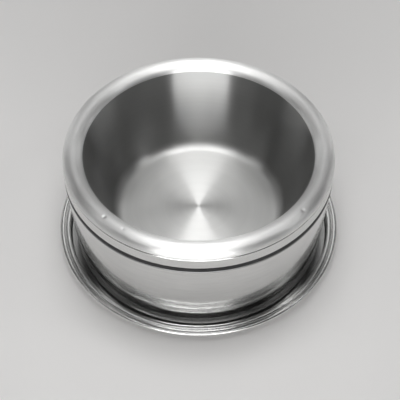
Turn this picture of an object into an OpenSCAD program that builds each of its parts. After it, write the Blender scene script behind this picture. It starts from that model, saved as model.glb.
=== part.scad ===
// Anti-ant pet bowl: a steel food bowl that lifts off a stand whose foot is ringed by a water moat.
// Every piece is turned about Z, the ground is Z = 0, and all sizes are in millimetres.
// The steel pieces are pressed from one gauge of sheet. Each is drawn as the middle line of its
// section, corner by corner, with the inside radius of every bend.

/* [Sheet steel] */
// Thickness of the sheet
sheet_t = 0.8; // [0.6:0.1:1.2]
// Inside radius of the tight flange bends
flange_bend = 0.3; // [0.2:0.1:0.5]

/* [Food bowl] */
// Depth from the top of the rim to the inside of the floor
bowl_depth = 68.6; // [58:0.2:72]
// Draft of the wall, in degrees from upright
bowl_draft = 17; // [10:0.5:20]
// Inside radius of the bend between the floor and the wall
bowl_corner = 10; // [6:0.5:14]

/* [Rim bead] */
// Width of the rounded rim across its outside
rim_w = 14.2; // [12:0.2:16]
// Overhang of the rim past the top edge of the collar
rim_over = 0.4; // [0.2:0.1:1.8]
// Slope of the two flanks of the rim, in degrees
rim_slope = 25; // [18:1:30]
// Inside radius of the two shoulders of the rim
rim_shoulder = 4.8; // [4:0.1:5.2]
// Inside radius of the bend into the curl that closes the rim underneath
curl_bend = 0.9; // [0.6:0.1:1.4]
// Width of that curl
curl_w = 4.6; // [3.6:0.2:5.4]

/* [Collar] */
// Height of the collar between the rim and the seat ring
collar_h = 8.9; // [7:0.1:14]
// Taper of the collar, as the growth of its radius from top to bottom
collar_flare = 0.6; // [0:0.1:2]
// Width of the flange at the foot of the collar
collar_flange = 5.4; // [4.4:0.2:6]

/* [Stand] */
// Outside diameter at the top of the stand
stand_top_d = 201.2; // [196:0.2:210]
// Outside diameter at the foot of the stand
stand_foot_d = 192; // [184:0.2:196]
// Height of the stand over the floor of the tray
stand_h = 71.9; // [66:0.1:90]
// Width of the ledge that carries the seat ring
ledge_w = 8.2; // [7.6:0.2:9]
// Inside radius of the bend at the foot of the stand
stand_corner = 2.5; // [1.5:0.1:5]

/* [Moat tray] */
// Width of the water moat at the level of its lip
moat_w = 5.0; // [4.6:0.1:8]
// Depth of the water moat from the top of the lip to its floor
moat_depth = 8.8; // [6:0.1:12]
// Width of the lip round the moat, from its inner edge to the groove
lip_w = 4.4; // [3.4:0.1:6]
// Inside radius of the bends of the lip
lip_bend = 0.9; // [0.7:0.1:1]
// Slope of the two sides of the groove, in degrees
groove_slope = 50; // [40:1:52]
// Diameter of the rolled bead round the edge of the tray
bead_d = 3.6; // [3.4:0.1:6]

/* [Rubber rings] */
// Thickness of the seat ring between the collar and the stand
seat_t = 3.4; // [2:0.1:4.4]
// Distance that the seat ring stands back from the outside of the stand
seat_setback = 0.2; // [0.1:0.1:2]
// Reach of the seat ring's hook below the ledge
seat_hook = 1.2; // [0.6:0.1:2]
// Height of the lip that centres the bowl on the seat ring
seat_lip_h = 2.4; // [1.6:0.1:4]
// Thickness of the two lips of the seat ring
seat_lip_t = 1.6; // [1:0.1:2]
// Thickness of the non-slip ring under the tray
foot_h = 2.0; // [1.2:0.1:4]
// Outside diameter of the non-slip ring
foot_d = 190; // [170:1:196]
// Width of the non-slip ring
foot_w = 13; // [9:0.5:20]
// Number of grip grooves in the non-slip ring
foot_grooves = 3; // [1:1:4]
// Depth of each grip groove
foot_groove = 0.5; // [0.3:0.1:0.8]

/* [Fits] */
// Running clearance between the bowl and the lip that centres it
centring_gap = 0.3; // [0.2:0.05:0.6]
// Clearance between the seat ring's hook and the ledge that it hooks over
hook_gap = 0.15; // [0.05:0.05:0.3]
// Shortest flat left between two bends of a sheet
flat_min = 0.05; // [0.02:0.01:0.1]
// Largest distance of a bend's outline from its true arc
arc_off = 0.03; // [0.01:0.01:0.05]

/* [Hidden] */
$fn = 120;
half_t = sheet_t / 2;
steel = "#c9cbcc";
rubber = "#17181a";

// Heights of the flat faces that seat on each other, from the ground up
tray_under = foot_h;
tray_floor = tray_under + sheet_t;
ledge_top = tray_floor + stand_h;
collar_under = ledge_top + seat_t;
collar_top = collar_under + collar_h;

// Radii of the stand, the collar and the rim, measured on the outside
stand_top_r = stand_top_d / 2;
stand_foot_r = stand_foot_d / 2;
ledge_in_r = stand_top_r - ledge_w;
collar_low_r = stand_top_r;
collar_high_r = collar_low_r - collar_flare;
flange_in_r = collar_low_r - collar_flange;
rim_r = collar_high_r + rim_over;
curl_in_r = rim_r - half_t - curl_w;

// Middle line of the rim: two shoulders and a crown, rounded into one another
rim_out = rim_r - half_t;
rim_in = rim_r - rim_w + half_t;
rim_half = (rim_out - rim_in) / 2;
rim_mid = (rim_out + rim_in) / 2;
curl_mid = collar_top + half_t;
shoulder_reach = (rim_shoulder + half_t) * tan((90 - rim_slope) / 2);
shoulder_mid = curl_mid + curl_bend + half_t + shoulder_reach;
crown_bend = (rim_half / cos(rim_slope) - shoulder_reach - flat_min) / tan(rim_slope) - half_t;
crown_mid = shoulder_mid + rim_half * tan(rim_slope);
rim_top = crown_mid - (crown_bend + half_t) * (1 / cos(rim_slope) - 1) + half_t;

// Middle line of the bowl
bowl_floor_mid = rim_top - bowl_depth - half_t;
bowl_foot_r = rim_in - (shoulder_mid - bowl_floor_mid) * tan(bowl_draft);

// Middle line of the tray
wall_at_lip = stand_foot_r + (stand_top_r - stand_foot_r) * moat_depth / stand_h;
lip_in_mid = wall_at_lip + moat_w + half_t;
lip_mid = tray_floor + moat_depth - half_t;
groove_mid_r = lip_in_mid - half_t + lip_w;
groove_lead = (lip_bend + half_t) * tan(groove_slope / 2);
groove_side = groove_lead + (flange_bend + half_t) * tan(groove_slope) + flat_min;
groove_run = groove_side * cos(groove_slope);
groove_mid = lip_mid - groove_side * sin(groove_slope);
bead_mid = bead_d - sheet_t;
bead_bend = bead_mid / 2 - half_t - flat_min;
bead_in_mid = groove_mid_r + groove_run;
bead_out_mid = bead_in_mid + bead_mid;
bead_low_mid = lip_mid - bead_mid;

// Unit vector at an angle
function unit(a) = [cos(a), sin(a)];
// Angle of the line from p to q
function heading(p, q) = atan2(q[1] - p[1], q[0] - p[0]);
// Turn from one heading to another, between -180 and 180 degrees
function turn(a, b) = b - a > 180 ? b - a - 360 : b - a < -180 ? b - a + 360 : b - a;
// Position of a corner, without its bend radius
function spot(corner) = [corner[0], corner[1]];
// Turn at corner i of a path, zero at its two ends
function turn_at(path, i) = i == 0 || i == len(path) - 1 ? 0 :
    turn(heading(path[i - 1], path[i]), heading(path[i], path[i + 1]));
// Distance from corner i to where its bend starts and ends
function reach_at(path, i) = (path[i][2] + half_t) * tan(abs(turn_at(path, i)) / 2);
// Direction of the sheet where it enters corner i
function into_at(path, i) = i == 0 ? heading(path[0], path[1]) : heading(path[i - 1], path[i]);
// Number of straight steps that draw a bend of radius r
function steps_for(r, sweep) = max(2, ceil(abs(sweep) / (2 * acos(1 - arc_off / r))));
// Points of one face of the sheet along the bend at corner i, off to the left of the middle line
function bend_face(path, i, off, sweep, r, into) =
    let (side = sweep > 0 ? 90 : -90)
    let (centre = spot(path[i]) - reach_at(path, i) * unit(into) + r * unit(into + side))
    let (steps = steps_for(r + half_t, sweep))
    [for (k = [0 : steps]) centre + (r - sign(sweep) * off) * unit(into - side + sweep * k / steps)];
// Points of that face at corner i, which is a bend or an end of the path
function face_at(path, i, off) = turn_at(path, i) == 0 ?
    [spot(path[i]) + off * unit(into_at(path, i) + 90)] :
    bend_face(path, i, off, turn_at(path, i), path[i][2] + half_t, into_at(path, i));
// The same points in the opposite order
function reversed(points) = [for (k = [len(points) - 1 : -1 : 0]) points[k]];

// Section of a sheet that follows a path of corners [radius, height, inside bend radius]
module sheet(path) {
    last = len(path) - 1;
    left = [for (i = [0 : last]) each face_at(path, i, half_t)];
    right = [for (i = [0 : last]) each face_at(path, i, -half_t)];
    polygon(concat(left, reversed(right)));
}

// Deep-drawn dish whose rim is rolled over and curled shut on the collar
module food_bowl() {
    color(steel) rotate_extrude() sheet([
        [0, bowl_floor_mid, 0],
        [bowl_foot_r, bowl_floor_mid, bowl_corner],
        [rim_in, shoulder_mid, rim_shoulder],
        [rim_mid, crown_mid, crown_bend],
        [rim_out, shoulder_mid, rim_shoulder],
        [rim_out, curl_mid, curl_bend],
        [curl_in_r, curl_mid, 0],
    ]);
}

// Flanged ring under the rim: its top flange is held by the curl, and its foot sits on the seat ring
module rim_collar() {
    color(steel) rotate_extrude() sheet([
        [curl_in_r, collar_top - half_t, 0],
        [collar_high_r - half_t, collar_top - half_t, flange_bend],
        [collar_low_r - half_t, collar_under + half_t, flange_bend],
        [flange_in_r, collar_under + half_t, 0],
    ]);
}

// Rubber ring hooked over the ledge, with a lip inside the collar that centres the bowl
module seat_ring() {
    hook_r = ledge_in_r - hook_gap;
    lip_r = flange_in_r - centring_gap;
    outer_r = stand_top_r - seat_setback;
    lip_foot = ledge_top + seat_t;
    lip_round = lip_foot + seat_lip_h - seat_lip_t / 2;
    color(rubber) rotate_extrude() {
        translate([hook_r - seat_lip_t, ledge_top]) square([outer_r - hook_r + seat_lip_t, seat_t]);
        translate([hook_r - seat_lip_t, ledge_top - sheet_t - seat_hook])
            square([seat_lip_t, sheet_t + seat_hook]);
        translate([lip_r - seat_lip_t, lip_foot]) square([seat_lip_t, lip_round - lip_foot]);
        translate([lip_r - seat_lip_t / 2, lip_round]) circle(seat_lip_t / 2);
    }
}

// Tapered stand with a closed floor, and a ledge turned in round its mouth
module stand_shell() {
    color(steel) rotate_extrude() sheet([
        [0, tray_floor + half_t, 0],
        [stand_foot_r - half_t, tray_floor + half_t, stand_corner],
        [stand_top_r - half_t, ledge_top - half_t, flange_bend],
        [ledge_in_r, ledge_top - half_t, 0],
    ]);
}

// Saucer that holds the water: wall, lip, groove and a bead rolled under at the edge
module moat_tray() {
    color(steel) rotate_extrude() sheet([
        [0, tray_under + half_t, 0],
        [lip_in_mid, tray_under + half_t, lip_bend],
        [lip_in_mid, lip_mid, lip_bend],
        [groove_mid_r - groove_run, lip_mid, lip_bend],
        [groove_mid_r, groove_mid, flange_bend],
        [bead_in_mid, lip_mid, lip_bend],
        [bead_out_mid, lip_mid, bead_bend],
        [bead_out_mid, bead_low_mid, bead_bend],
        [bead_in_mid, bead_low_mid, 0],
    ]);
}

// Non-slip rubber ring bonded under the tray, with grip grooves round its sole
module foot_ring() {
    outer_r = foot_d / 2;
    pitch = foot_w / (foot_grooves + 1);
    color(rubber) rotate_extrude() difference() {
        translate([outer_r - foot_w, 0]) square([foot_w, foot_h]);
        for (k = [1 : foot_grooves]) translate([outer_r - k * pitch, 0]) circle(foot_groove);
    }
}

food_bowl();
rim_collar();
seat_ring();
stand_shell();
moat_tray();
foot_ring();
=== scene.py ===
"""Looks of the anti-ant pet bowl: turned steel, two rubber rings, a pale studio and one camera."""
import logging
import math
from dataclasses import dataclass, field
from enum import Enum

import bpy
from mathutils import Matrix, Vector


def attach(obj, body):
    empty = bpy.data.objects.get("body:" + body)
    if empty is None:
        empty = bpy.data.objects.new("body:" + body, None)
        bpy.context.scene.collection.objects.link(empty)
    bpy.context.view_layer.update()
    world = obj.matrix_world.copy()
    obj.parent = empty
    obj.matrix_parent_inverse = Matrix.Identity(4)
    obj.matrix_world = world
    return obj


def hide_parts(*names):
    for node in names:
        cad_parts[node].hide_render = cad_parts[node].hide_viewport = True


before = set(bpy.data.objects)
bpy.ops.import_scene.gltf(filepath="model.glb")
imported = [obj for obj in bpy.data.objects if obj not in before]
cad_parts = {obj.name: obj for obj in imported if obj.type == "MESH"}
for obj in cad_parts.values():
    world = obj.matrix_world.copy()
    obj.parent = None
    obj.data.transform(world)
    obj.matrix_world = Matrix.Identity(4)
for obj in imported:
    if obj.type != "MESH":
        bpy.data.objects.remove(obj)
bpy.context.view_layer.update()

MM = 0.001
TINY = 1e-6
CREASE = math.radians(40)
LOG = logging.getLogger("pet_bowl")

Point = tuple[float, float]
Colour = tuple[float, float, float]
Socket = bpy.types.NodeSocket
Tree = bpy.types.NodeTree


class Body(Enum):
    """Rigid groups that move as one."""

    BASE = "base"
    BOWL = "bowl"


class Zone(Enum):
    """Stretches of a section that take a finish of their own, in the order of the piece's materials."""

    MAIN = 0
    EDGE = 1


@dataclass(frozen=True)
class Corner:
    """One corner of a sheet's middle line, in millimetres.

    The bend is the inside radius, and zone is the finish from this corner on.
    """

    r: float
    z: float
    bend: float = 0.0
    zone: Zone = Zone.MAIN


@dataclass(frozen=True)
class OutlinePoint:
    """One point of a closed section, with the zone of the stretch that follows it."""

    r: float
    z: float
    zone: Zone = Zone.MAIN


def arc(centre: Point, radius: float, start: float, turn: float, steps: int) -> list[Point]:
    """Draws an arc of a circle.

    Args:
        centre: Middle of the circle.
        radius: Radius of the circle.
        start: Angle of the first point, in radians.
        turn: Angle from the first point to the last, in radians.
        steps: Number of steps between them.

    Returns:
        The points of the arc, with both its ends.
    """
    angles = [start + turn * k / steps for k in range(steps + 1)]
    return [(centre[0] + radius * math.cos(a), centre[1] + radius * math.sin(a)) for a in angles]


@dataclass(frozen=True)
class SheetSection:
    """Section of a pressed sheet: a path of corners with bends, at one thickness.

    A bend is drawn in steps of step degrees, and never in fewer than least_steps.
    """

    path: tuple[Corner, ...]
    thickness: float = 0.8
    step: float = 5.0
    least_steps: int = 6

    def heading(self, i: int) -> float:
        """Returns the direction, in radians, from corner i to the next."""
        a, b = self.path[i], self.path[i + 1]
        return math.atan2(b.z - a.z, b.r - a.r)

    def face(self, i: int, off: float) -> list[OutlinePoint]:
        """Draws one face of the sheet round one corner.

        Args:
            i: Number of the corner.
            off: Distance of the face to the left of the middle line, in millimetres.

        Returns:
            The points of that face, from where the bend starts to where it ends.
        """
        corner = self.path[i]
        last = len(self.path) - 1
        into = self.heading(max(i - 1, 0))
        out = self.heading(min(i, last - 1))
        turn = math.remainder(out - into, math.tau)
        if abs(turn) < TINY:
            return [OutlinePoint(
                corner.r - off * math.sin(into), corner.z + off * math.cos(into), corner.zone)]
        r = corner.bend + self.thickness / 2
        reach = r * math.tan(abs(turn) / 2)
        side = math.copysign(math.pi / 2, turn)
        centre_r = corner.r - reach * math.cos(into) + r * math.cos(into + side)
        centre_z = corner.z - reach * math.sin(into) + r * math.sin(into + side)
        face_r = r - math.copysign(1, turn) * off
        steps = max(self.least_steps, round(math.degrees(abs(turn)) / self.step))
        bend = arc((centre_r, centre_z), face_r, into - side, turn, steps)
        return [OutlinePoint(*p, corner.zone) for p in bend]

    def outline(self) -> list[OutlinePoint]:
        """Draws both faces of the sheet.

        Returns:
            The closed outline, out along the left face and back along the right.
        """
        half = self.thickness / 2
        left = [p for i in range(len(self.path)) for p in self.face(i, half)]
        right = [p for i in range(len(self.path)) for p in self.face(i, -half)]
        back = [OutlinePoint(p.r, p.z, q.zone) for p, q in zip(right, right[:1] + right)]
        return left + back[::-1]


def with_supports(outline: list[OutlinePoint], near: float, longest: float) -> list[OutlinePoint]:
    """Adds points along the long stretches of an outline, so that they shade as flat.

    Args:
        outline: Closed outline.
        near: Distance of the first added point from each end, in millimetres.
        longest: Longest stretch left between two points, in millimetres.

    Returns:
        The outline with the added points.
    """
    dense: list[OutlinePoint] = []
    for i, a in enumerate(outline):
        b = outline[(i + 1) % len(outline)]
        dense.append(a)
        length = math.hypot(b.r - a.r, b.z - a.z)
        if length < 4 * near:
            continue
        count = max(1, math.ceil((length - 2 * near) / longest))
        for k in range(count + 1):
            t = (near + (length - 2 * near) * k / count) / length
            dense.append(OutlinePoint(a.r + (b.r - a.r) * t, a.z + (b.z - a.z) * t, a.zone))
    return dense


def turned_mesh(name: str, outline: list[OutlinePoint], segments: int) -> bpy.types.Object:
    """Turns a closed outline about Z.

    Args:
        name: Name of the new piece.
        outline: Closed outline in millimetres, with radius first.
        segments: Number of steps round the axis.

    Returns:
        The new object, smooth shaded, with one material index for each zone.
    """
    verts: list[tuple[float, float, float]] = []
    rings: list[list[int]] = []
    for p in outline:
        if p.r < TINY:
            rings.append([len(verts)] * segments)
            verts.append((0.0, 0.0, p.z * MM))
            continue
        rings.append(list(range(len(verts), len(verts) + segments)))
        for k in range(segments):
            angle = math.tau * k / segments
            verts.append((p.r * MM * math.cos(angle), p.r * MM * math.sin(angle), p.z * MM))
    faces: list[list[int]] = []
    zones: list[int] = []
    for i, ring in enumerate(rings):
        after = rings[(i + 1) % len(rings)]
        if ring[0] == ring[1] and after[0] == after[1]:
            continue
        for k in range(segments):
            m = (k + 1) % segments
            loop = list(dict.fromkeys((ring[k], after[k], after[m], ring[m])))
            faces.append(loop)
            zones.append(outline[i].zone.value)
    mesh = bpy.data.meshes.new(name)
    mesh.from_pydata(verts, [], faces)
    mesh.polygons.foreach_set("material_index", zones)
    mesh.polygons.foreach_set("use_smooth", [True] * len(faces))
    mesh.set_sharp_from_angle(angle=CREASE)
    mesh.update()
    obj = bpy.data.objects.new(name, mesh)
    bpy.context.scene.collection.objects.link(obj)
    return obj


def link(tree: Tree, source: Socket, target: Socket) -> None:
    """Joins two sockets of a node tree."""
    tree.links.new(source, target)


def mapped(tree: Tree, value: Socket, source: Point, target: Point, smooth: bool = False) -> Socket:
    """Adds a map of a value from one range to another, held at both ends.

    Args:
        tree: Node tree that takes the map.
        value: Value to map.
        source: Ends of the range that the value is in.
        target: Ends of the range that it goes to.
        smooth: Whether the map eases in and out.

    Returns:
        The mapped value.
    """
    node = tree.nodes.new("ShaderNodeMapRange")
    if smooth:
        node.interpolation_type = "SMOOTHSTEP"
    for name, end in zip(("From Min", "From Max", "To Min", "To Max"), source + target):
        node.inputs[name].default_value = end
    link(tree, value, node.inputs["Value"])
    return node.outputs[0]


def vector_node(tree: Tree, operation: str, source: Socket) -> bpy.types.Node:
    """Adds an operation on a vector.

    Args:
        tree: Node tree of the material.
        operation: Name of the operation.
        source: Vector that it works on.

    Returns:
        The new node.
    """
    node = tree.nodes.new("ShaderNodeVectorMath")
    node.operation = operation
    link(tree, source, node.inputs[0])
    return node


def divided(tree: Tree, value: Socket, unit: float) -> Socket:
    """Adds a division.

    Args:
        tree: Node tree of the material.
        value: Length to divide, in metres.
        unit: Length that it is divided by, in metres.

    Returns:
        How many units the length holds.
    """
    node = tree.nodes.new("ShaderNodeMath")
    node.operation = "DIVIDE"
    node.inputs[1].default_value = unit
    link(tree, value, node.inputs[0])
    return node.outputs[0]


def noise_node(tree: Tree, place: Socket, scale: float, detail: float) -> bpy.types.Node:
    """Adds a noise over the piece.

    Args:
        tree: Node tree of the material.
        place: Position on the piece.
        scale: Number of clouds in a metre.
        detail: Number of finer layers.

    Returns:
        The new node.
    """
    node = tree.nodes.new("ShaderNodeTexNoise")
    node.inputs["Scale"].default_value = scale
    node.inputs["Detail"].default_value = detail
    link(tree, place, node.inputs["Vector"])
    return node


@dataclass(frozen=True)
class Dent:
    """A shallow knock in the sheet: its place in degrees and millimetres, its reach and its depth."""

    angle: float
    r: float
    z: float
    reach: float
    depth: float

    def place(self) -> tuple[float, float, float]:
        """Returns the middle of the knock, in metres."""
        turn = math.radians(self.angle)
        return (self.r * MM * math.cos(turn), self.r * MM * math.sin(turn), self.z * MM)


@dataclass(frozen=True)
class Rise:
    """Change of the gloss and of a painted shade with height, in millimetres.

    From start on, the tone changes as painted shade up to tone_end, and the gloss up to gloss_end.
    """

    start: float
    tone_end: float
    gloss_end: float
    colour: Colour
    roughness: float


@dataclass(frozen=True)
class SteelFinish:
    """Stainless steel that is polished or brushed round the axis of the bowl.

    The grain is the strength of fine lines round the axis, and pitch is their distance in millimetres.
    Smudge and streaks are the changes of gloss in clouds and along lines, and breaks is how often a
    line breaks off in one radian. Dents are knocks of use, rise is a change of gloss and of painted
    shade with height, and tint is how far the marks of the brush change the tone. The middle part of a
    noise, noise_range, gives the whole of a change. The other pitches and the depth of the grain are in
    millimetres too, and across is the part of a full turn that spreads a highlight across the lines.
    """

    name: str
    colour: Colour
    roughness: float
    anisotropy: float
    grain: float = 0.2
    pitch: float = 0.5
    smudge: float = 0.02
    streaks: float = 0.0
    breaks: float = 0.0
    dents: tuple[Dent, ...] = ()
    rise: Rise | None = None
    tint: float = 0.04
    noise_range: Point = (0.3, 0.7)
    line_detail: float = 3.0
    cloud_scale: float = 55.0
    cloud_detail: float = 5.0
    cloud_roughness: float = 0.65
    streak_pitch: float = 1.2
    mark_pitch: float = 2.5
    grain_depth: float = 0.02
    across: float = 0.25

    def lines(self, tree: Tree, place: Socket, pitch: float) -> Socket:
        """Adds a pattern of broken lines round the axis.

        Args:
            tree: Node tree of the material.
            place: Position on the piece.
            pitch: Distance between two lines, in millimetres.

        Returns:
            The level of the pattern.
        """
        flat = vector_node(tree, "MULTIPLY", place)
        flat.inputs[1].default_value = (1, 1, 0)
        radius = vector_node(tree, "LENGTH", flat.outputs[0])
        around = vector_node(tree, "NORMALIZE", flat.outputs[0])
        spread = vector_node(tree, "SCALE", around.outputs[0])
        spread.inputs["Scale"].default_value = self.breaks
        turned = tree.nodes.new("ShaderNodeSeparateXYZ")
        link(tree, spread.outputs[0], turned.inputs[0])
        height = tree.nodes.new("ShaderNodeSeparateXYZ")
        link(tree, place, height.inputs[0])
        seed = tree.nodes.new("ShaderNodeCombineXYZ")
        link(tree, turned.outputs["X"], seed.inputs["X"])
        link(tree, turned.outputs["Y"], seed.inputs["Y"])
        link(tree, divided(tree, radius.outputs["Value"], pitch * MM), seed.inputs["Z"])
        noise = noise_node(tree, seed.outputs[0], 1, self.line_detail)
        noise.noise_dimensions = "4D"
        link(tree, divided(tree, height.outputs["Z"], pitch * MM), noise.inputs["W"])
        return noise.outputs["Fac"]

    def gloss(self, tree: Tree, place: Socket) -> Socket:
        """Adds the roughness with its clouds and streaks.

        Args:
            tree: Node tree of the material.
            place: Position on the piece.

        Returns:
            The roughness.
        """
        cloud = noise_node(tree, place, self.cloud_scale, self.cloud_detail)
        cloud.inputs["Roughness"].default_value = self.cloud_roughness
        clouds = (self.roughness - self.smudge, self.roughness + self.smudge)
        smudged = mapped(tree, cloud.outputs["Fac"], self.noise_range, clouds)
        streak = self.lines(tree, place, self.streak_pitch)
        streaked = mapped(tree, streak, self.noise_range, (-self.streaks, self.streaks))
        total = tree.nodes.new("ShaderNodeMath")
        total.operation = "ADD"
        link(tree, smudged, total.inputs[0])
        link(tree, streaked, total.inputs[1])
        return total.outputs[0]

    def relief(self, tree: Tree, place: Socket) -> Socket:
        """Adds the relief of the grain and the dents.

        Args:
            tree: Node tree of the material.
            place: Position on the piece.

        Returns:
            The normal of the relief.
        """
        fine = tree.nodes.new("ShaderNodeBump")
        fine.inputs["Strength"].default_value = self.grain
        fine.inputs["Distance"].default_value = self.grain_depth * MM
        link(tree, self.lines(tree, place, self.pitch), fine.inputs["Height"])
        normal = fine.outputs[0]
        for dent in self.dents:
            away = vector_node(tree, "DISTANCE", place)
            away.inputs[1].default_value = dent.place()
            hollow = mapped(tree, away.outputs["Value"], (0, dent.reach * MM), (0, 1), smooth=True)
            knock = tree.nodes.new("ShaderNodeBump")
            knock.inputs["Distance"].default_value = dent.depth * MM
            link(tree, hollow, knock.inputs["Height"])
            link(tree, normal, knock.inputs["Normal"])
            normal = knock.outputs[0]
        return normal

    def risen(self, tree: Tree, place: Socket, gloss: Socket, rise: Rise) -> tuple[Socket, Socket]:
        """Adds the change of the gloss with height, and the painted shade that changes the tone.

        Args:
            tree: Node tree of the material.
            place: Position on the piece.
            gloss: Roughness below the change.
            rise: The change.

        Returns:
            The colour and the roughness.
        """
        height = tree.nodes.new("ShaderNodeSeparateXYZ")
        link(tree, place, height.inputs[0])
        tone_share, gloss_share = (
            mapped(tree, height.outputs["Z"], (rise.start * MM, end * MM), (0, 1), smooth=True)
            for end in (rise.tone_end, rise.gloss_end))
        tone = tree.nodes.new("ShaderNodeMix")
        tone.data_type = "RGBA"
        tone.inputs["A"].default_value = (*self.colour, 1)
        tone.inputs["B"].default_value = (*rise.colour, 1)
        link(tree, tone_share, tone.inputs["Factor"])
        change = tree.nodes.new("ShaderNodeMath")
        change.operation = "MULTIPLY_ADD"
        change.inputs[1].default_value = rise.roughness - self.roughness
        link(tree, gloss_share, change.inputs[0])
        link(tree, gloss, change.inputs[2])
        return tone.outputs["Result"], change.outputs[0]

    def material(self) -> bpy.types.Material:
        """Makes the material of this finish.

        Returns:
            The new material.
        """
        material = bpy.data.materials.new(self.name)
        material.use_nodes = True
        tree = material.node_tree
        shader = tree.nodes["Principled BSDF"]
        shader.inputs["Metallic"].default_value = 1
        shader.inputs["Anisotropic"].default_value = self.anisotropy
        shader.inputs["Anisotropic Rotation"].default_value = self.across
        tangent = tree.nodes.new("ShaderNodeTangent")
        tangent.direction_type = "RADIAL"
        tangent.axis = "Z"
        link(tree, tangent.outputs[0], shader.inputs["Tangent"])
        place = tree.nodes.new("ShaderNodeTexCoord").outputs["Object"]
        brushed = tree.nodes.new("ShaderNodeHueSaturation")
        brushed.inputs["Color"].default_value = (*self.colour, 1)
        lines = self.lines(tree, place, self.mark_pitch)
        marks = mapped(tree, lines, self.noise_range, (1 - self.tint, 1 + self.tint))
        link(tree, marks, brushed.inputs["Value"])
        link(tree, brushed.outputs[0], shader.inputs["Base Color"])
        gloss = self.gloss(tree, place)
        if self.rise:
            tone, gloss = self.risen(tree, place, gloss, self.rise)
            link(tree, tone, brushed.inputs["Color"])
        link(tree, gloss, shader.inputs["Roughness"])
        link(tree, self.relief(tree, place), shader.inputs["Normal"])
        return material


@dataclass(frozen=True)
class RubberFinish:
    """Moulded rubber with a fine matt grain and a trace of dust.

    Dust shows where its noise is in dust_range, and makes the rubber paler by dust_gain. The depth of
    the grain is in millimetres.
    """

    name: str
    colour: Colour
    roughness: float
    specular: float = 0.35
    dust_scale: float = 140.0
    dust_detail: float = 6.0
    dust_range: Point = (0.45, 0.8)
    dust_gain: float = 2.2
    grain_scale: float = 2400.0
    grain_detail: float = 2.0
    grain: float = 0.25
    grain_depth: float = 0.1

    def material(self) -> bpy.types.Material:
        """Makes the material of this finish.

        Returns:
            The new material.
        """
        material = bpy.data.materials.new(self.name)
        material.use_nodes = True
        tree = material.node_tree
        shader = tree.nodes["Principled BSDF"]
        shader.inputs["Specular IOR Level"].default_value = self.specular
        place = tree.nodes.new("ShaderNodeTexCoord").outputs["Object"]
        dust = noise_node(tree, place, self.dust_scale, self.dust_detail)
        tone = tree.nodes.new("ShaderNodeValToRGB")
        for stop, position, gain in zip(tone.color_ramp.elements, self.dust_range, (1, self.dust_gain)):
            stop.position = position
            stop.color = (*(gain * c for c in self.colour), 1)
        link(tree, dust.outputs["Fac"], tone.inputs["Fac"])
        link(tree, tone.outputs["Color"], shader.inputs["Base Color"])
        grain = noise_node(tree, place, self.grain_scale, self.grain_detail)
        bump = tree.nodes.new("ShaderNodeBump")
        bump.inputs["Strength"].default_value = self.grain
        bump.inputs["Distance"].default_value = self.grain_depth * MM
        link(tree, grain.outputs["Fac"], bump.inputs["Height"])
        link(tree, bump.outputs[0], shader.inputs["Normal"])
        shader.inputs["Roughness"].default_value = self.roughness
        return material


RIM_DENTS = (
    Dent(angle=-133.9, r=94.0, z=94.0, reach=2.2, depth=0.14),
    Dent(angle=-123.4, r=94.0, z=94.0, reach=1.8, depth=0.1),
    Dent(angle=-40.4, r=95.0, z=93.8, reach=2.4, depth=0.12),
)
# The wall darkens to a colour that is painted shade, standing in for the dark reflections inside the
# dish; the change of roughness is the wall's real polish.
WALL_GLOSS_AND_SHADE = Rise(
    start=25.8, tone_end=31.0, gloss_end=60.0, colour=(0.42, 0.42, 0.415), roughness=0.292)
BOWL_INSIDE = SteelFinish(
    "spun_inside", (0.66, 0.66, 0.65), roughness=0.35, anisotropy=0.98, grain=0.08, smudge=0.01,
    streaks=0.005, rise=WALL_GLOSS_AND_SHADE, tint=0.02)
# The rim's polish is real; its colour, paler than the dish's steel, is partly painted highlight.
RIM_POLISH_AND_HIGHLIGHT = SteelFinish(
    "rolled_rim", (0.9, 0.9, 0.89), roughness=0.42, anisotropy=0.9, streaks=0.02, breaks=5,
    dents=RIM_DENTS)
COLLAR_SATIN = SteelFinish(
    "satin_collar", (0.68, 0.68, 0.675), roughness=0.2, anisotropy=0.5, pitch=0.4, streaks=0.02,
    breaks=5)
STAND_POLISH = SteelFinish(
    "polished_stand", (0.66, 0.66, 0.655), roughness=0.11, anisotropy=0.4, grain=0.0, smudge=0.01,
    streaks=0.004, breaks=5)
# The ledge's satin roughness is its finish; its dark colour is painted shade in the seam under the
# collar.
LEDGE_SATIN_AND_SHADE = SteelFinish(
    "satin_ledge_and_shade", (0.3, 0.3, 0.3), roughness=0.5, anisotropy=0.0, grain=0.1, pitch=0.4)
# The moat is the tray's own steel, darkened with painted shade for the recess between the stand and the
# lip.
MOAT_PAINTED_SHADE = SteelFinish(
    "moat_painted_shade", (0.4, 0.4, 0.395), roughness=0.26, anisotropy=0.0, grain=0.0, smudge=0.01, tint=0.015)
TRAY_POLISH = SteelFinish(
    "polished_tray", (0.72, 0.72, 0.71), roughness=0.26, anisotropy=0.0, grain=0.0, smudge=0.01,
    tint=0.015)
BLACK_RUBBER = RubberFinish("black_rubber", (0.012, 0.012, 0.013), roughness=0.6)


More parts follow.
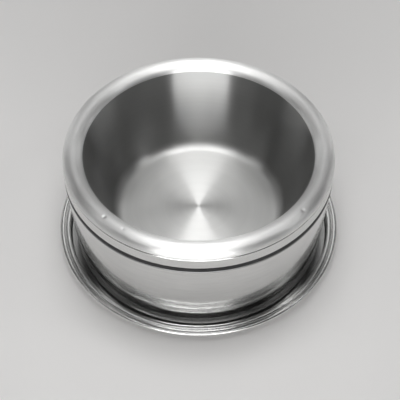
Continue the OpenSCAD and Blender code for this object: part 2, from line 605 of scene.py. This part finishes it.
@dataclass
class PetBowlSizes:
    """Sizes that the pieces share, in millimetres."""

    sheet: float = 0.8
    flange_bend: float = 0.3
    foot_h: float = 2.0
    stand_top_r: float = 100.6
    stand_foot_r: float = 96.0
    stand_h: float = 71.9
    seat_t: float = 3.4
    collar_h: float = 8.9
    collar_flare: float = 0.6
    rim_over: float = 0.4
    curl_w: float = 4.6
    ledge_w: float = 8.2
    flange_w: float = 5.4
    flat_min: float = 0.05

    @property
    def half(self) -> float:
        """Half the thickness of the sheet."""
        return self.sheet / 2

    @property
    def tray_floor(self) -> float:
        """Height of the tray's floor."""
        return self.foot_h + self.sheet

    @property
    def ledge_top(self) -> float:
        """Height of the ledge that carries the seat ring."""
        return self.tray_floor + self.stand_h

    @property
    def collar_under(self) -> float:
        """Height of the underside of the collar."""
        return self.ledge_top + self.seat_t

    @property
    def collar_top(self) -> float:
        """Height of the top of the collar."""
        return self.collar_under + self.collar_h

    @property
    def collar_high_r(self) -> float:
        """Radius of the collar at its top."""
        return self.stand_top_r - self.collar_flare

    @property
    def rim_r(self) -> float:
        """Radius of the outside of the rim."""
        return self.collar_high_r + self.rim_over

    @property
    def curl_in_r(self) -> float:
        """Radius at which the curl under the rim ends."""
        return self.rim_r - self.half - self.curl_w


@dataclass
class TurnedPiece:
    """A piece that is turned about Z, and stands for one solid of the model."""

    sizes: PetBowlSizes = field(default_factory=PetBowlSizes)
    segments: int = 288
    support_gap: float = 0.25
    support_step: float = 6.0
    node: str = ""
    slot: str = ""
    body: Body = Body.BASE

    def outline(self) -> list[OutlinePoint]:
        """Returns the closed outline of the piece, in millimetres."""
        raise NotImplementedError

    def materials(self) -> list[bpy.types.Material]:
        """Returns the materials of the piece, in the order of its zones."""
        raise NotImplementedError

    def build(self) -> bpy.types.Object:
        """Builds the piece, dresses it and puts it on its body.

        Returns:
            The finished piece.
        """
        outline = with_supports(self.outline(), self.support_gap, self.support_step)
        obj = turned_mesh(self.node + "_turned", outline, self.segments)
        for material in self.materials():
            obj.data.materials.append(material)
        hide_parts(self.node)
        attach(obj, self.body.value)
        return obj


@dataclass
class FoodBowl(TurnedPiece):
    """Deep-drawn dish with a rolled rim that is curled shut underneath."""

    node: str = "food_bowl"
    slot: str = "bowl_steel"
    body: Body = Body.BOWL
    depth: float = 68.6
    draft: float = 17.0
    corner: float = 10.0
    rim_w: float = 14.2
    rim_slope: float = 25.0
    rim_shoulder: float = 4.8
    curl_bend: float = 0.9

    def outline(self) -> list[OutlinePoint]:
        """Draws the dish and its rim.

        Returns:
            The closed outline, from the middle of the floor to the end of the curl and back.
        """
        s = self.sizes
        rim_out = s.rim_r - s.half
        rim_in = s.rim_r - self.rim_w + s.half
        half_w = (rim_out - rim_in) / 2
        slope = math.radians(self.rim_slope)
        curl_mid = s.collar_top + s.half
        reach = (self.rim_shoulder + s.half) * math.tan((math.pi / 2 - slope) / 2)
        shoulder = curl_mid + self.curl_bend + s.half + reach
        crown_r = (half_w / math.cos(slope) - reach - s.flat_min) / math.tan(slope)
        crown = shoulder + half_w * math.tan(slope)
        top = crown - crown_r * (1 / math.cos(slope) - 1) + s.half
        floor = top - self.depth - s.half
        foot_r = rim_in - (shoulder - floor) * math.tan(math.radians(self.draft))
        return SheetSection((
            Corner(0, floor, 0, Zone.MAIN),
            Corner(foot_r, floor, self.corner, Zone.MAIN),
            Corner(rim_in, shoulder, self.rim_shoulder, Zone.EDGE),
            Corner((rim_in + rim_out) / 2, crown, crown_r - s.half, Zone.EDGE),
            Corner(rim_out, shoulder, self.rim_shoulder, Zone.EDGE),
            Corner(rim_out, curl_mid, self.curl_bend, Zone.EDGE),
            Corner(s.curl_in_r, curl_mid, 0, Zone.EDGE),
        ), s.sheet).outline()

    def materials(self) -> list[bpy.types.Material]:
        """Returns the finishes of the inside, with painted shade on its wall, and of the rim, whose
        paleness is partly painted highlight.
        """
        return [BOWL_INSIDE.material(), RIM_POLISH_AND_HIGHLIGHT.material()]


@dataclass
class RimCollar(TurnedPiece):
    """Flanged band between the rim and the seat ring."""

    node: str = "rim_collar"
    slot: str = "collar_steel"
    body: Body = Body.BOWL

    def outline(self) -> list[OutlinePoint]:
        """Draws the band and its two flanges.

        Returns:
            The closed outline, from the top flange to the bottom one and back.
        """
        s = self.sizes
        return SheetSection((
            Corner(s.curl_in_r, s.collar_top - s.half),
            Corner(s.collar_high_r - s.half, s.collar_top - s.half, s.flange_bend),
            Corner(s.stand_top_r - s.half, s.collar_under + s.half, s.flange_bend),
            Corner(s.stand_top_r - s.flange_w, s.collar_under + s.half),
        ), s.sheet).outline()

    def materials(self) -> list[bpy.types.Material]:
        """Returns the finish of the band."""
        return [COLLAR_SATIN.material()]


@dataclass
class SeatRing(TurnedPiece):
    """Rubber ring in the seam, hooked over the ledge of the stand."""

    node: str = "seat_ring"
    slot: str = "seat_rubber"
    setback: float = 0.2
    hook: float = 1.2
    lip_h: float = 2.4
    lip_t: float = 1.6
    centring_gap: float = 0.3
    hook_gap: float = 0.15
    tip_steps: int = 12

    def outline(self) -> list[OutlinePoint]:
        """Draws the ring, its hook and its lip.

        Returns:
            The closed outline.
        """
        s = self.sizes
        low = s.ledge_top
        high = low + s.seat_t
        hook_out = s.stand_top_r - s.ledge_w - self.hook_gap
        hook_in = hook_out - self.lip_t
        lip_out = s.stand_top_r - s.flange_w - self.centring_gap
        lip_in = lip_out - self.lip_t
        outer = s.stand_top_r - self.setback
        hook_z = low - s.sheet - self.hook
        points = [
            (hook_in, hook_z), (hook_out, hook_z), (hook_out, low), (outer, low), (outer, high),
            (lip_out, high)]
        tip = self.lip_t / 2
        points += arc((lip_out - tip, high + self.lip_h - tip), tip, 0.0, math.pi, self.tip_steps)
        points += [(lip_in, high), (hook_in, high)]
        return [OutlinePoint(r, z) for r, z in points]

    def materials(self) -> list[bpy.types.Material]:
        """Returns the rubber of the ring."""
        return [BLACK_RUBBER.material()]


@dataclass
class StandShell(TurnedPiece):
    """Tapered stand with a closed floor and a ledge round its mouth."""

    node: str = "stand_shell"
    slot: str = "stand_steel"
    corner: float = 2.5

    def outline(self) -> list[OutlinePoint]:
        """Draws the floor, the wall and the ledge.

        Returns:
            The closed outline, from the middle of the floor to the ledge and back.
        """
        s = self.sizes
        return SheetSection((
            Corner(0, s.tray_floor + s.half),
            Corner(s.stand_foot_r - s.half, s.tray_floor + s.half, self.corner),
            Corner(s.stand_top_r - s.half, s.ledge_top - s.half, s.flange_bend, Zone.EDGE),
            Corner(s.stand_top_r - s.ledge_w, s.ledge_top - s.half, 0, Zone.EDGE),
        ), s.sheet).outline()

    def materials(self) -> list[bpy.types.Material]:
        """Returns the finish of the stand, and that of its satin ledge, whose dark colour is painted
        shade.
        """
        return [STAND_POLISH.material(), LEDGE_SATIN_AND_SHADE.material()]


@dataclass
class MoatTray(TurnedPiece):
    """Saucer that holds the water: wall, lip, groove and rolled bead."""

    node: str = "moat_tray"
    slot: str = "tray_steel"
    moat_w: float = 5.0
    moat_depth: float = 8.8
    lip_w: float = 4.4
    lip_bend: float = 0.9
    groove_slope: float = 50.0
    bead_d: float = 3.6
    step: float = 8.0

    def outline(self) -> list[OutlinePoint]:
        """Draws the moat, the lip, the groove and the bead.

        Returns:
            The closed outline, from the middle of the tray to the end of the bead and back.
        """
        s = self.sizes
        slope = math.radians(self.groove_slope)
        wall = s.stand_foot_r + (s.stand_top_r - s.stand_foot_r) * self.moat_depth / s.stand_h
        lip_in = wall + self.moat_w + s.half
        lip = s.tray_floor + self.moat_depth - s.half
        groove_r = lip_in - s.half + self.lip_w
        side = ((self.lip_bend + s.half) * math.tan(slope / 2)
                + (s.flange_bend + s.half) * math.tan(slope) + s.flat_min)
        run = side * math.cos(slope)
        bead = self.bead_d - s.sheet
        bead_bend = bead / 2 - s.half - s.flat_min
        bead_in = groove_r + run
        return SheetSection((
            Corner(0, s.foot_h + s.half),
            Corner(lip_in, s.foot_h + s.half, self.lip_bend),
            Corner(lip_in, lip, self.lip_bend, Zone.EDGE),
            Corner(groove_r - run, lip, self.lip_bend, Zone.EDGE),
            Corner(groove_r, lip - side * math.sin(slope), s.flange_bend, Zone.EDGE),
            Corner(bead_in, lip, self.lip_bend, Zone.EDGE),
            Corner(bead_in + bead, lip, bead_bend, Zone.EDGE),
            Corner(bead_in + bead, lip - bead, bead_bend, Zone.EDGE),
            Corner(bead_in, lip - bead, 0, Zone.EDGE),
        ), s.sheet, self.step).outline()

    def materials(self) -> list[bpy.types.Material]:
        """Returns the moat's steel, darkened with painted shade, and the finish of its lip, groove and
        bead.
        """
        return [MOAT_PAINTED_SHADE.material(), TRAY_POLISH.material()]


@dataclass
class FootRing(TurnedPiece):
    """Non-slip rubber ring under the tray, with grip grooves round its sole."""

    node: str = "foot_ring"
    slot: str = "foot_rubber"
    outer_r: float = 95.0
    width: float = 13.0
    grooves: int = 3
    groove: float = 0.5
    groove_steps: int = 6

    def outline(self) -> list[OutlinePoint]:
        """Draws the ring with its grooves.

        Returns:
            The closed outline.
        """
        inner = self.outer_r - self.width
        pitch = self.width / (self.grooves + 1)
        points = [(inner, self.sizes.foot_h), (inner, 0.0)]
        for n in range(1, self.grooves + 1):
            points += arc((inner + n * pitch, 0.0), self.groove, math.pi, -math.pi, self.groove_steps)
        points += [(self.outer_r, 0.0), (self.outer_r, self.sizes.foot_h)]
        return [OutlinePoint(r, z) for r, z in points]

    def materials(self) -> list[bpy.types.Material]:
        """Returns the rubber of the ring."""
        return [BLACK_RUBBER.material()]


@dataclass(frozen=True)
class Panel:
    """A soft lamp: its direction in degrees, with azimuth 0 behind the bowl and 90 on its right.

    Width and height are in metres, and level is the brightness of its face.
    """

    name: str
    azimuth: float
    elevation: float
    width: float
    height: float
    level: float

    def place(self, reach: float) -> Vector:
        """Finds where the lamp hangs.

        Args:
            reach: Distance from the middle of the floor, in metres.

        Returns:
            The place of the lamp.
        """
        turn, lift = math.radians(self.azimuth), math.radians(self.elevation)
        flat = math.cos(lift)
        return reach * Vector((flat * math.sin(turn), flat * math.cos(turn), math.sin(lift)))


# Name, azimuth, elevation, width, height and level.
PANELS = (
    Panel("back_softbox", 0, 50, 0.45, 0.42, 1.5),
    Panel("back_right_high", 20, 62, 0.4, 0.4, 1.2),
    Panel("back_left_high", 340, 62, 0.4, 0.4, 1.1),
    Panel("right_back_low", 40, 24, 0.45, 0.42, 1.1),
    Panel("left_back_low", 320, 24, 0.45, 0.42, 1.2),
    Panel("right_low", 65, 24, 0.45, 0.42, 0.6),
    Panel("left_low", 295, 24, 0.45, 0.42, 0.6),
    Panel("right_high", 65, 72, 0.45, 0.42, 1.4),
    Panel("left_high", 295, 72, 0.45, 0.42, 1.4),
    Panel("right_softbox", 95, 44, 0.45, 0.36, 1.0),
    Panel("left_softbox", 265, 44, 0.45, 0.36, 1.3),
    Panel("front_right_high", 155, 72, 0.45, 0.42, 1.9),
    Panel("front_left_high", 205, 72, 0.45, 0.42, 1.9),
    Panel("front_left_low", 205, 24, 0.45, 0.42, 1.2),
    Panel("top_softbox", 0, 77, 0.5, 0.3, 8.0),
    Panel("front_softbox", 182, 16, 1.4, 0.44, 7.6),
    Panel("front_high", 183, 50, 0.6, 0.4, 0.6),
    Panel("right_spot", 96, 50, 0.12, 0.12, 8.0),
    Panel("left_spot", 237, 60, 0.12, 0.12, 8.0),
)


@dataclass
class Studio:
    """Pale floor, a room that is pale round the horizon and dark overhead, and soft lamps.

    Lengths are in metres. The room's light falls from low_level to high_level between low_edge and
    high_edge, which are sines of the angle over the horizon.
    """

    floor_r: float = 0.7
    floor_steps: int = 96
    floor_colour: Colour = (0.88, 0.87, 0.86)
    floor_roughness: float = 0.75
    low_level: float = 0.6
    high_level: float = 0.0
    low_edge: float = 0.08
    high_edge: float = 0.24
    reach: float = 1.5
    aim_z: float = 0.05

    def build_floor(self) -> bpy.types.Object:
        """Builds the round floor.

        Returns:
            The floor.
        """
        count = self.floor_steps
        edge = arc((0.0, 0.0), self.floor_r, 0.0, math.tau, count)[:-1]
        verts = [(0.0, 0.0, 0.0)] + [(x, y, 0.0) for x, y in edge]
        faces = [(0, 1 + k, 1 + (k + 1) % count) for k in range(count)]
        mesh = bpy.data.meshes.new("studio_floor")
        mesh.from_pydata(verts, [], faces)
        obj = bpy.data.objects.new("studio_floor", mesh)
        bpy.context.scene.collection.objects.link(obj)
        material = bpy.data.materials.new("pale_floor")
        material.use_nodes = True
        shader = material.node_tree.nodes["Principled BSDF"]
        shader.inputs["Base Color"].default_value = (*self.floor_colour, 1)
        shader.inputs["Roughness"].default_value = self.floor_roughness
        mesh.materials.append(material)
        return obj

    def build_room(self) -> None:
        """Makes the light of the room, pale up to one height and dark above another."""
        world = bpy.data.worlds.new("studio_room")
        world.use_nodes = True
        tree = world.node_tree
        back = tree.nodes["Background"]
        place = tree.nodes.new("ShaderNodeTexCoord")
        split = tree.nodes.new("ShaderNodeSeparateXYZ")
        link(tree, place.outputs["Generated"], split.inputs[0])
        edges, levels = (self.low_edge, self.high_edge), (self.low_level, self.high_level)
        level = mapped(tree, split.outputs["Z"], edges, levels, smooth=True)
        link(tree, level, back.inputs["Strength"])
        back.inputs["Color"].default_value = (1, 1, 1, 1)
        bpy.context.scene.world = world

    def lamp(self, panel: Panel) -> bpy.types.Object:
        """Hangs one soft lamp.

        Args:
            panel: Direction, size and level of the lamp.

        Returns:
            The lamp.
        """
        data = bpy.data.lights.new(panel.name, "AREA")
        data.shape = "RECTANGLE"
        data.size, data.size_y = panel.width, panel.height
        data.energy = panel.level * math.pi * panel.width * panel.height
        obj = bpy.data.objects.new(panel.name, data)
        place = panel.place(self.reach)
        obj.location = place
        aim = Vector((0, 0, self.aim_z))
        obj.rotation_euler = (aim - place).to_track_quat("-Z", "Y").to_euler()
        bpy.context.scene.collection.objects.link(obj)
        return obj

    def build(self) -> None:
        """Builds the floor, the room and the lamps."""
        self.build_floor()
        self.build_room()
        for panel in PANELS:
            self.lamp(panel)


@dataclass
class PhotoCamera:
    """Camera at the viewing angle of the picture.

    Lens and sensor are in millimetres, elevation in degrees, distance and aim_z in metres.
    """

    lens: float = 90.0
    sensor: float = 36.0
    elevation: float = 49.5
    distance: float = 0.7811
    aim_z: float = 0.0331
    shift_x: float = 0.00325

    def build(self) -> bpy.types.Object:
        """Places the camera and makes it the scene's own.

        Returns:
            The camera.
        """
        data = bpy.data.cameras.new("picture_camera")
        data.lens = self.lens
        data.sensor_width = self.sensor
        data.shift_x = self.shift_x
        obj = bpy.data.objects.new("picture_camera", data)
        lift = math.radians(self.elevation)
        obj.location = (0, -self.distance * math.cos(lift), self.aim_z + self.distance * math.sin(lift))
        obj.rotation_euler = (math.pi / 2 - lift, 0, 0)
        bpy.context.scene.collection.objects.link(obj)
        bpy.context.scene.camera = obj
        return obj


def main() -> None:
    """Builds the camera, the studio and the six pieces."""
    logging.basicConfig(level=logging.INFO, format="%(message)s")
    bpy.context.scene.view_settings.view_transform = "Standard"
    PhotoCamera().build()
    Studio().build()
    for piece in (FoodBowl(), RimCollar(), SeatRing(), StandShell(), MoatTray(), FootRing()):
        obj = piece.build()
        LOG.info("%s: %d faces on %s", obj.name, len(obj.data.polygons), piece.body.value)


if __name__ == "__main__":
    main()
